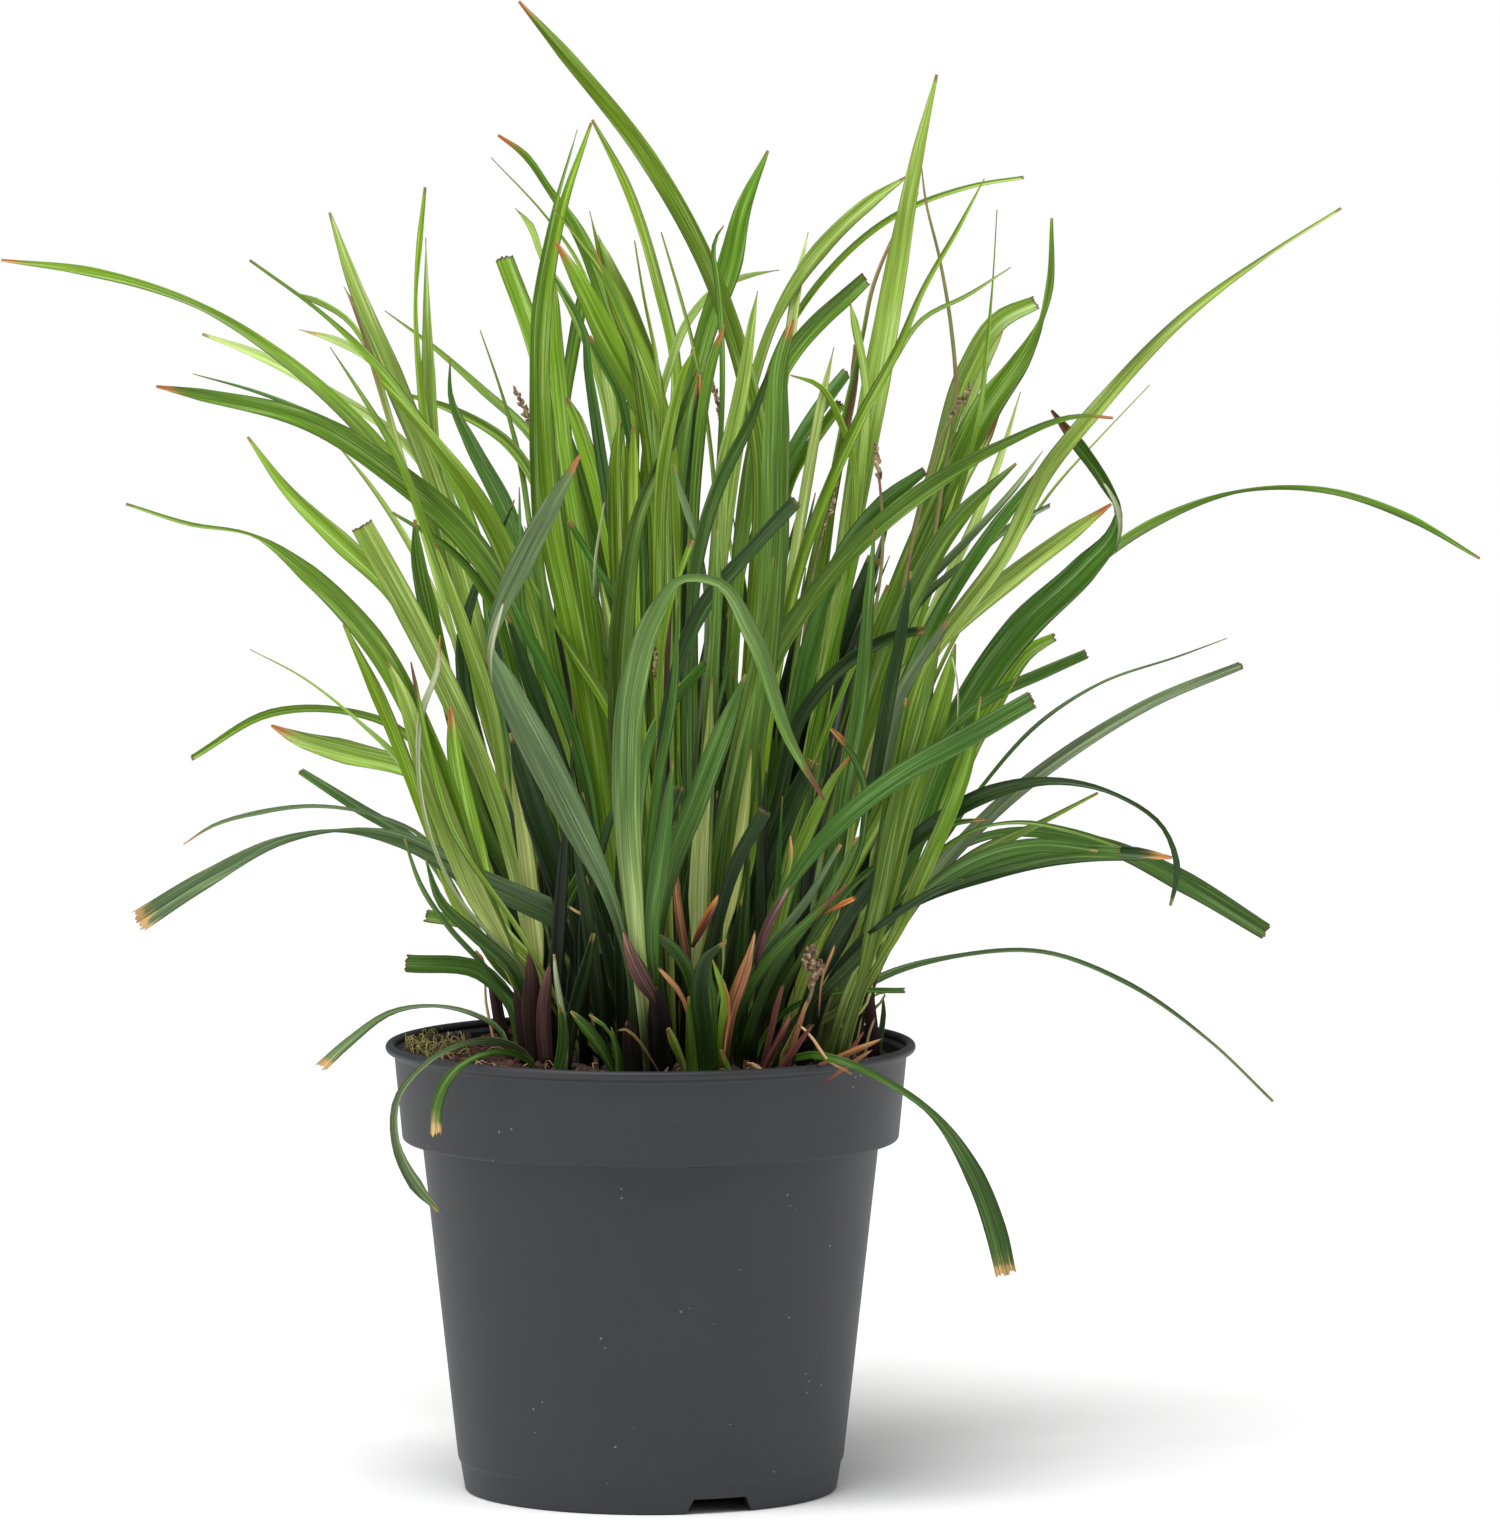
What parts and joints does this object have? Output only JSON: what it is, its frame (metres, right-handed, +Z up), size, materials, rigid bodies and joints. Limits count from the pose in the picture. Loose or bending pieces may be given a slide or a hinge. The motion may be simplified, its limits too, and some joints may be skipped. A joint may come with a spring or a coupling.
{
  "type": "potted sedge",
  "caption": "Potted sedge: a tuft of long narrow arching leaves, some with cut ends, in a round dark grey plastic nursery pot filled with peat.",
  "frame": {"origin": "centre of the pot's underside, on the plane it stands on", "axes": "+Z up along the pot's axis, -Y towards the front"},
  "size_m": [0.5576, 0.428, 0.5313],
  "materials": {
    "pot_plastic": "matte",
    "peat": "rough",
    "leaf_green": "satin",
    "leaf_dark": "satin",
    "leaf_pale": "satin",
    "leaf_slate": "satin"
  },
  "bodies": {
    "root": {"pot": "pot_plastic", "soil": "peat", "leaf_top_arch": "leaf_green", "leaf_top_thin": "leaf_green", "leaf_top_pale": "leaf_pale", "leaf_orange_tip": "leaf_green", "leaf_yellow_green": "leaf_pale", "leaf_torn_top": "leaf_slate", "leaf_top_dark": "leaf_dark", "leaf_tall_right": "leaf_pale", "leaf_right_yellow_tip": "leaf_green", "leaf_right_cut_thin": "leaf_dark", "leaf_right_dark": "leaf_dark", "leaf_right_bent": "leaf_slate", "leaf_right_long": "leaf_pale", "leaf_right_front_arch": "leaf_green", "leaf_right_slate": "leaf_slate", "leaf_right_brown_tip": "leaf_dark", "leaf_right_broad": "leaf_pale", "leaf_right_folded": "leaf_dark", "leaf_right_arch": "leaf_green", "leaf_right_cut_long": "leaf_slate", "leaf_big_cut": "leaf_dark", "leaf_hook": "leaf_dark", "leaf_right_low_cut": "leaf_dark", "leaf_right_low": "leaf_pale", "leaf_right_low_thin": "leaf_green", "leaf_low_arch_thin": "leaf_green", "leaf_low_cut_narrow": "leaf_slate", "leaf_centre_broad": "leaf_dark", "leaf_centre_cut": "leaf_dark", "leaf_centre_crossing": "leaf_slate", "leaf_front_arch": "leaf_pale", "leaf_front_folded": "leaf_slate", "leaf_front_bright": "leaf_green", "leaf_front_brown_tip": "leaf_green", "leaf_front_frayed": "leaf_dark", "leaf_front_short": "leaf_dark", "leaf_centre_wide": "leaf_dark", "leaf_right_upright": "leaf_dark", "leaf_right_fan": "leaf_green", "leaf_left_long": "leaf_green", "leaf_left_pale": "leaf_pale", "leaf_left_broad": "leaf_green", "leaf_left_green": "leaf_green", "leaf_left_thin": "leaf_green", "leaf_left_tall": "leaf_pale", "leaf_left_upright": "leaf_dark", "leaf_left_bright": "leaf_pale", "leaf_left_cut_broad": "leaf_green", "leaf_left_low_long": "leaf_pale", "leaf_left_yellow": "leaf_pale", "leaf_left_frayed": "leaf_slate", "leaf_left_pale_broad": "leaf_pale", "leaf_left_arch": "leaf_green", "leaf_left_low_cut": "leaf_dark", "leaf_left_small_arch": "leaf_slate", "leaf_hanging_left": "leaf_slate", "leaf_hanging_short": "leaf_green", "leaf_trailing_right": "leaf_dark"}
  },
  "joints": []
}
